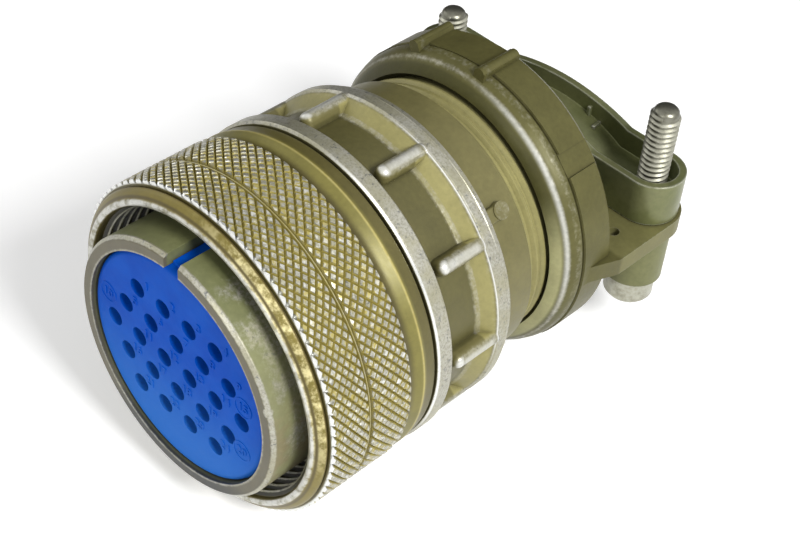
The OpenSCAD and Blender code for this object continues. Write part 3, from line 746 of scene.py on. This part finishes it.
# %% Gold and steel
def thread_grime(f):
    """Darker in a clamp screw's thread roots and at its tip. Both screws are folded onto the right one."""
    folded = f.vector("ABSOLUTE", f.place)
    aside = f.vector("SUBTRACT", folded, (SCREW_X * MM, SCREW_Y * MM, 0))
    across = f.vector("MULTIPLY", aside, (PER_METRE, PER_METRE, 0))
    away = f.vector("LENGTH", across, output="Value")
    # Darker in the roots of the thread, and towards the screw's tip.
    roots = f.both(f.step(away, 1.84, 1.66), f.step(f.height(), -2.0, 0.0))
    tip = f.step(f.height(), SCREW_TIP - 1.6, SCREW_TIP - 0.9)
    return f.either(f.dim(roots, 0.75), f.dim(tip, 0.45))


def bright_metal(name, colour, shade, rough, darkening_of=None):
    """Bare metal in two shades, darker deep in its hollows and where darkening_of says."""
    f = Finish(name)
    cloud = f.grain(0.9, 4.0, 0.65)
    darkened = f.hollows(0.8)
    if darkening_of:
        darkened = f.either(darkened, darkening_of(f))
    metal = f.blend(f.step(cloud, 0.35, 0.75), colour, shade)
    f.set("Base Color", f.blend(f.dim(darkened, 0.8), metal, HOLLOW_DARK))
    f.set("Metallic", 0.9)
    f.set("Roughness", f.level(cloud, rough - 0.08, rough + 0.12))
    f.relief(cloud, 0.015)
    return f


gold_finish = bright_metal("contact_gold", tone(214, 182, 104), tone(188, 156, 84), 0.3)
spring_finish = bright_metal("spring_steel", tone(158, 158, 162), tone(128, 128, 130), 0.35)
screw_finish = bright_metal("worn_screw_steel", tone(176, 175, 160), tone(146, 144, 128), 0.36,
                            darkening_of=thread_grime)
contacts = [shown for name, shown in sorted(nodes.items()) if name.startswith("contact_")]
gold_finish.put_on(*contacts)
spring_finish.put_on(nodes["insert_snap_ring"])
screw_finish.put_on(nodes["screw_right"], nodes["screw_left"])
print(f"gold on {len(contacts)} contacts, steel on the snap ring and the screws")

# %% [markdown]
# ## Softening the cast and turned edges
#
# No real edge is perfectly sharp, and it is the rounded edge that catches
# the light. The frame's meshes come as loose triangles, so they are welded,
# their flat faces are joined, a narrow bevel runs along every corner, and
# the shading follows the large faces. All four are modifiers, which leave
# the frame's own mesh as it is.

# %% Edge modifiers
def soften(node, width):
    """Rounds a CAD node's corners by a width in millimetres."""
    shown = nodes[node]
    weld = shown.modifiers.new("weld", "WELD")
    weld.merge_threshold = 0.002 * MM
    flat = shown.modifiers.new("join_flats", "DECIMATE")
    flat.decimate_type = "DISSOLVE"
    flat.angle_limit = radians(0.6)
    bevel = shown.modifiers.new("round_edges", "BEVEL")
    bevel.width = width * MM
    bevel.segments = 3
    bevel.limit_method = "ANGLE"
    bevel.angle_limit = radians(28)
    bevel.use_clamp_overlap = True
    bevel.harden_normals = False
    bevel.miter_outer = "MITER_ARC"
    shading = shown.modifiers.new("even_shading", "WEIGHTED_NORMAL")
    shading.keep_sharp = False
    shading.weight = 80
    print(f"{node}: corners rounded by {width} mm")


for softened, width in (("plug_shell", 0.18), ("end_bell", 0.2), ("clamp_body", 0.25),
                        ("saddle", 0.32), ("screw_right", 0.12), ("screw_left", 0.12)):
    soften(softened, width)

# %% [markdown]
# ## The coupling nut
#
# The nut is the part that takes the most skill: two bands of diamond knurl
# between a nose and a hollow flare. A bump texture would give the knurl's
# shading but no teeth at its edge, so it is modelled. The nut is turned from
# one outline, with a ring of points for each half row of diamonds. Then
# every second point of a band is raised, by a little more or less each, each
# face is split between its two low points, and the raised points are cut
# flat, as years of handling have done.

# %% Helpers for turned pieces
def turn_outline(outline, steps):
    """A closed (radius, station) outline turned about the axis, as a bmesh."""
    bm = bmesh.new()
    points = [bm.verts.new((r * MM, (s + FACE_Y) * MM, AXIS_Z * MM)) for r, s in outline]
    edges = [bm.edges.new((a, b)) for a, b in zip(points, points[1:] + points[:1])]
    bmesh.ops.spin(bm, geom=points + edges, cent=(0, 0, AXIS_Z * MM), axis=(0, 1, 0),
                   angle=tau, steps=steps, use_merge=True, use_duplicate=False)
    bmesh.ops.recalc_face_normals(bm, faces=bm.faces)
    return bm


def make_piece(bm, name, body, finish, sharp=30):
    """Makes a bmesh an object that rides on a body, smooth but for corners over `sharp` degrees."""
    mesh = bpy.data.meshes.new(name)
    bm.to_mesh(mesh)
    bm.free()
    for face in mesh.polygons:
        face.use_smooth = True
    mesh.set_sharp_from_angle(angle=radians(sharp))
    piece = bpy.data.objects.new(name, mesh)
    bpy.context.scene.collection.objects.link(piece)
    finish.put_on(piece)
    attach(piece, body)
    print(f"{name}: {len(mesh.vertices)} points, {len(mesh.polygons)} faces")
    return piece


def from_axis(point):
    """Radius in mm and angle from the top, in turns, of a point in metres."""
    x, z = point.x / MM, point.z / MM - AXIS_Z
    return (x * x + z * z) ** 0.5, (Vector((z, x)).angle_signed(Vector((1, 0)), 0.0) / tau) % 1


def move_out(point, scale):
    """Multiplies a point's distance from the axis."""
    point.co.x *= scale
    point.co.z = (AXIS_Z + (point.co.z / MM - AXIS_Z) * scale) * MM


# %% The nut's outline
COLUMNS, ROWS = 90, 5
LIP_BORE, LIP_WIDTH = 17.08, 2.3
RELIEF, RELIEF_FRONT = 20.0, 6.6


def band_points(start, end):
    """A ring of points at the knurl's root for each half row of a band."""
    half_rows = 2 * ROWS
    return [(KNURL_ROOT + 0.05, start + (end - start) * i / half_rows) for i in range(half_rows + 1)]


nut_outline = [
    (BORE, NUT_FRONT + 0.75), (BORE + 0.05, NUT_FRONT + 0.40), (BORE + 0.22, NUT_FRONT + 0.14),
    (BORE + 0.45, NUT_FRONT + 0.02), (BORE + 0.70, NUT_FRONT + 0.0), (BORE + 0.92, NUT_FRONT + 0.10),
    (BORE + 1.05, NUT_FRONT + 0.28), (BORE + 1.35, NUT_FRONT + 0.46), (BORE + 1.75, NUT_FRONT + 0.74),
    (BORE + 1.95, NUT_FRONT + 0.98), (BORE + 2.05, NUT_FRONT + 1.22), (BORE + 1.98, NUT_FRONT + 1.38),
    (BORE + 1.80, NUT_FRONT + 1.46), (BORE + 1.80, NUT_FRONT + 1.54), (KNURL_ROOT, NUT_FRONT + 1.60)]
nut_outline += band_points(*BAND_1)
groove = (BAND_1[1] + BAND_2[0]) / 2
nut_outline += [(KNURL_ROOT - 0.1, groove - 0.28), (20.95, groove - 0.22), (20.92, groove - 0.10),
                (21.15, groove - 0.02), (21.42, groove + 0.06), (21.48, groove + 0.14),
                (21.42, groove + 0.22), (21.2, groove + 0.29)]
nut_outline += band_points(*BAND_2)
nut_outline += [(KNURL_ROOT - 0.12, FLARE + 0.12), (21.12, FLARE + 0.35), (21.08, FLARE + 0.7),
                (21.12, FLARE + 1.05), (21.24, FLARE + 1.45), (21.40, FLARE + 1.85), (21.52, FLARE + 2.15),
                (21.57, FLARE + 2.35), (21.55, FLARE + 2.5), (21.50, FLARE + 2.7), (21.46, FLARE + 3.0),
                (21.42, FLARE + 3.4), (21.38, FLARE + 3.8), (21.34, FLARE + 4.1), (21.28, NUT_REAR - 0.12),
                (21.18, NUT_REAR - 0.02), (21.05, NUT_REAR)]
nut_outline += [(LIP_BORE, NUT_REAR), (LIP_BORE, NUT_REAR - LIP_WIDTH), (RELIEF, NUT_REAR - LIP_WIDTH),
                (RELIEF, NUT_REAR - RELIEF_FRONT), (BORE, NUT_REAR - RELIEF_FRONT)]
print(f"outline of {len(nut_outline)} points, {COLUMNS} by {ROWS} diamonds in a band")

# %% Raise the knurl
TIP_WANDER = 0.12
nut_bm = turn_outline(nut_outline, 2 * COLUMNS)
tips, roots = [], []
for start, end in (BAND_1, BAND_2):
    half_row = (end - start) / (2 * ROWS)
    for point in nut_bm.verts:
        station = point.co.y / MM - FACE_Y
        r, turns = from_axis(point.co)
        if r < KNURL_ROOT or not start - 0.01 < station < end + 0.01:
            continue
        row = round((station - start) / half_row)
        column = round(turns * 2 * COLUMNS)
        raised = (row + column) % 2 == 0
        (tips if raised else roots).append(point)
        wander = noise.noise(point.co * 160) * TIP_WANDER
        move_out(point, (KNURL_TIP + wander if raised else KNURL_ROOT) / r)
print(f"{len(tips)} tips raised, {len(roots)} points left low")

# %% Cut the tips flat
WORN_AWAY, UNEVEN = 58, 0.0030
bmesh.ops.connect_verts(nut_bm, verts=roots)
bmesh.ops.bevel(nut_bm, geom=tips, offset=WORN_AWAY, offset_type="PERCENT", affect="VERTICES", segments=1,
                profile=0.5, material=-1, clamp_overlap=True)
for point in nut_bm.verts:
    station = point.co.y / MM - FACE_Y
    on_knurl = BAND_1[0] - 0.1 < station < BAND_2[1] + 0.1 and not BAND_1[1] < station < BAND_2[0]
    if on_knurl and from_axis(point.co)[0] > KNURL_ROOT + 0.15:
        move_out(point, 1 + noise.noise(point.co * 2600) * UNEVEN)
nut = make_piece(nut_bm, "coupling_nut_knurled", "nut", nut_finish, sharp=26)
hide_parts("coupling_nut")

# %% [markdown]
# ## Threads
#
# A thread is one small ridge, carried round and forward at once. Blender's
# spin does just that when each step is also given a shift along the axis.
# The same helper makes the coupling thread inside the nut, the rear thread
# of the end bell and the threads of the two clamp screws. Each is a piece of
# its own that sinks a little into its part, so nothing has to be cut.

# %% Thread helper
def thread_bm(section, pitch, turns, per_turn, centre, axis):
    """Spins a closed section, a list of points in mm, into a helix of ridges."""
    bm = bmesh.new()
    points = [bm.verts.new(Vector(p) * MM) for p in section]
    face = bm.faces.new(points)
    steps = round(turns * per_turn)
    bmesh.ops.spin(bm, geom=[face], cent=Vector(centre) * MM, axis=axis,
                   dvec=Vector(axis) * (pitch / per_turn) * MM, angle=tau * turns, steps=steps,
                   use_merge=False, use_duplicate=False)
    bmesh.ops.recalc_face_normals(bm, faces=bm.faces)
    return bm


def ridge_section(base, crest, station, half_base, half_crest):
    """A ridge's section in the plane through the axis and +X."""
    y = station + FACE_Y
    return [(base, y - half_base, AXIS_Z), (crest, y - half_crest, AXIS_Z),
            (crest, y + half_crest, AXIS_Z), (base, y + half_base, AXIS_Z)]


# %% Threads of the nut and the bell
AXIS_POINT, ALONG, UPRIGHT = (0, 0, AXIS_Z), (0, 1, 0), (0, 0, 1)
COARSE_PITCH = 25.4 / 18
coupling_ridge = ridge_section(BORE + 0.15, BORE - 0.55, NUT_FRONT + 1.0, 0.62, 0.10)
make_piece(thread_bm(coupling_ridge, COARSE_PITCH, 6.6, 96, AXIS_POINT, ALONG),
           "coupling_thread_ridge", "nut", nut_finish)
THREAD_FRONT = BELL_REAR - 9.0
rear_ridge = ridge_section(17.4, 17.95, THREAD_FRONT + 0.55, 0.66, 0.14)
make_piece(thread_bm(rear_ridge, COARSE_PITCH, 2.6, 128, AXIS_POINT, ALONG),
           "rear_thread_ridge", "shell", bell_finish)

# %% Threads of the clamp screws
SCREW_PITCH, RIDGE_FOOT, RIDGE_CREST = 0.794, 1.62, 2.0
for side, sign in (("right", 1), ("left", -1)):
    low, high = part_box("screw_" + side)
    x, y = sign * SCREW_X, SCREW_Y
    foot, tip = low.z / MM + 6.0, high.z / MM - 1.0
    section = [(x + RIDGE_FOOT, y, foot - 0.36), (x + RIDGE_CREST, y, foot - 0.06),
               (x + RIDGE_CREST, y, foot + 0.06), (x + RIDGE_FOOT, y, foot + 0.36)]
    make_piece(thread_bm(section, SCREW_PITCH, (tip - foot) / SCREW_PITCH, 32, (x, y, foot), UPRIGHT),
               f"screw_{side}_thread", "screw_" + side, screw_finish)

# %% [markdown]
# ## The numbers on the insert
#
# The moulded insert carries a small raised number beside every contact, in
# the same blue, and a thin ring round three of them. A number starts as a
# text curve with a little depth, which is far quicker than drawing digits.
# It becomes a mesh while it still lies flat, and only then is it stood up on
# the insert's face. All of them are joined into one piece.

# %% Where the contacts stand
CONTACT_ROWS, PITCH = (4, 5, 6, 5, 4), 4.5
INSERT_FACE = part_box("front_insert")[0].y / MM - FACE_Y
contact_spots = [((i - (count - 1) / 2) * PITCH, (2 - row) * PITCH * 3 ** 0.5 / 2)
                 for row, count in enumerate(CONTACT_ROWS) for i in range(count)]
print(f"{len(contact_spots)} contacts, the insert's face at {INSERT_FACE:.2f}")

# %% Helpers for numbers and rings
def stand_on_face(bm, x, z):
    """Turns what lies flat about the origin to the mating face and takes it to its spot."""
    bmesh.ops.rotate(bm, verts=bm.verts, cent=(0, 0, 0), matrix=Matrix.Rotation(radians(90), 3, "X"))
    bmesh.ops.translate(bm, verts=bm.verts, vec=Vector((x, FACE_Y + INSERT_FACE, AXIS_Z + z)) * MM)


def number_bm(text, height, depth):
    """A number that lies flat about the origin, as a bmesh."""
    curve = bpy.data.curves.new("number", "FONT")
    curve.body = text
    curve.size = height * 1.4 * MM
    curve.extrude = depth * MM
    curve.offset = 0.03 * MM
    curve.resolution_u = 3
    curve.align_x, curve.align_y = "CENTER", "CENTER"
    holder = bpy.data.objects.new("number", curve)
    mesh = bpy.data.meshes.new_from_object(holder)
    bpy.data.objects.remove(holder)
    made = bmesh.new()
    made.from_mesh(mesh)
    return made


def ring_bm(inner, middle, outer):
    """A thin raised ring that lies flat about the origin, as a bmesh."""
    made = bmesh.new()
    section = [(inner, 0.0), (inner, 0.06), (middle, 0.08), (outer, 0.06), (outer, 0.0)]
    points = [made.verts.new((r * MM, 0, h * MM)) for r, h in section]
    edges = [made.edges.new((a, b)) for a, b in zip(points, points[1:] + points[:1])]
    bmesh.ops.spin(made, geom=points + edges, cent=(0, 0, 0), axis=UPRIGHT, angle=tau, steps=40,
                   use_merge=True)
    bmesh.ops.recalc_face_normals(made, faces=made.faces)
    return made


def add_on_face(whole, flat, x, z):
    """Stands a flat bmesh on the insert's face and joins it to the whole."""
    stand_on_face(flat, x, z)
    loose = bpy.data.meshes.new("loose")
    flat.to_mesh(loose)
    flat.free()
    whole.from_mesh(loose)


# %% All the numbers in one piece
RINGED = {10: (-12.3, 3.25), 15: (11.5, 2.6), 20: (11.35, -4.7)}
numbers_bm = bmesh.new()
for index, (x, z) in enumerate(contact_spots, 1):
    spot = RINGED.get(index, (x + 1.75, z + 1.45))
    add_on_face(numbers_bm, number_bm(str(index), 1.2, 0.1), *spot)
for spot in RINGED.values():
    add_on_face(numbers_bm, ring_bm(1.28, 1.36, 1.44), *spot)
make_piece(numbers_bm, "insert_numbers", "shell", blue_finish)

# %% [markdown]
# ## The nub's web
#
# The round nub on the bell's neck is joined to the rear ring by a short web,
# which was cast with it. A rounded block set from the ring to the middle of
# the nub gives that web. It is made on top of the neck, where its sides are
# square to the axes, and then turned about the neck to the nub's angle.

# %% Nub web
NUB_ANGLE, NECK_RADIUS = radians(49), 18.9
WEB_SIZE = (1.9, 2.9, 1.1)
web_bm = bmesh.new()
bmesh.ops.create_cube(web_bm, size=1)
bmesh.ops.scale(web_bm, verts=web_bm.verts, vec=Vector(WEB_SIZE) * MM)
bmesh.ops.bevel(web_bm, geom=web_bm.edges[:], offset=0.25 * MM, affect="EDGES", segments=3, profile=0.5,
                material=-1, clamp_overlap=True)
bmesh.ops.translate(web_bm, verts=web_bm.verts, vec=Vector((0, 0, NECK_RADIUS + 0.2)) * MM)
bmesh.ops.rotate(web_bm, verts=web_bm.verts, cent=(0, 0, 0), matrix=Matrix.Rotation(NUB_ANGLE, 3, "Y"))
bmesh.ops.translate(web_bm, verts=web_bm.verts, vec=Vector((0, FACE_Y + BELL_FRONT + 14.7, AXIS_Z)) * MM)
make_piece(web_bm, "bell_nub_web", "shell", bell_finish)

# %% [markdown]
# ## Bars in the saddle
#
# Two short raised bars are cast in the hollow of the saddle, right of its
# middle: one lies on the floor, the other stands against the rear wall.
# Each is a small block with its edges rounded, set into the floor, whose
# height at any place follows from the arch that the saddle is cast to.

# %% Saddle bars
ARCH_RADIUS, ARCH_DROP = 22.14, 15.19


def saddle_floor(x):
    """Height of the saddle's floor at x: an arch about a line under the connector's axis."""
    return AXIS_Z - ARCH_DROP + (ARCH_RADIUS ** 2 - x * x) ** 0.5


def add_bar(whole, x, width, length, height, behind, turned=0):
    """A bar at x, this far behind the screws, turned by degrees about the upright."""
    bar = bmesh.ops.create_cube(whole, size=1)["verts"]
    bmesh.ops.scale(whole, verts=bar, vec=Vector((width, length, height)) * MM)
    bmesh.ops.rotate(whole, verts=bar, cent=(0, 0, 0), matrix=Matrix.Rotation(radians(turned), 3, "Z"))
    middle_height = saddle_floor(x) + height * 0.3
    bmesh.ops.translate(whole, verts=bar, vec=Vector((x, SCREW_Y + behind, middle_height)) * MM)


bars_bm = bmesh.new()
add_bar(bars_bm, 6.6, 0.5, 1.7, 0.5, behind=2.3, turned=6)
add_bar(bars_bm, 4.7, 0.5, 0.7, 1.7, behind=3.0)
bmesh.ops.bevel(bars_bm, geom=bars_bm.edges[:], offset=0.12 * MM, affect="EDGES", segments=2, profile=0.5,
                material=-1, clamp_overlap=True)
make_piece(bars_bm, "saddle_bars", "saddle", saddle_finish)
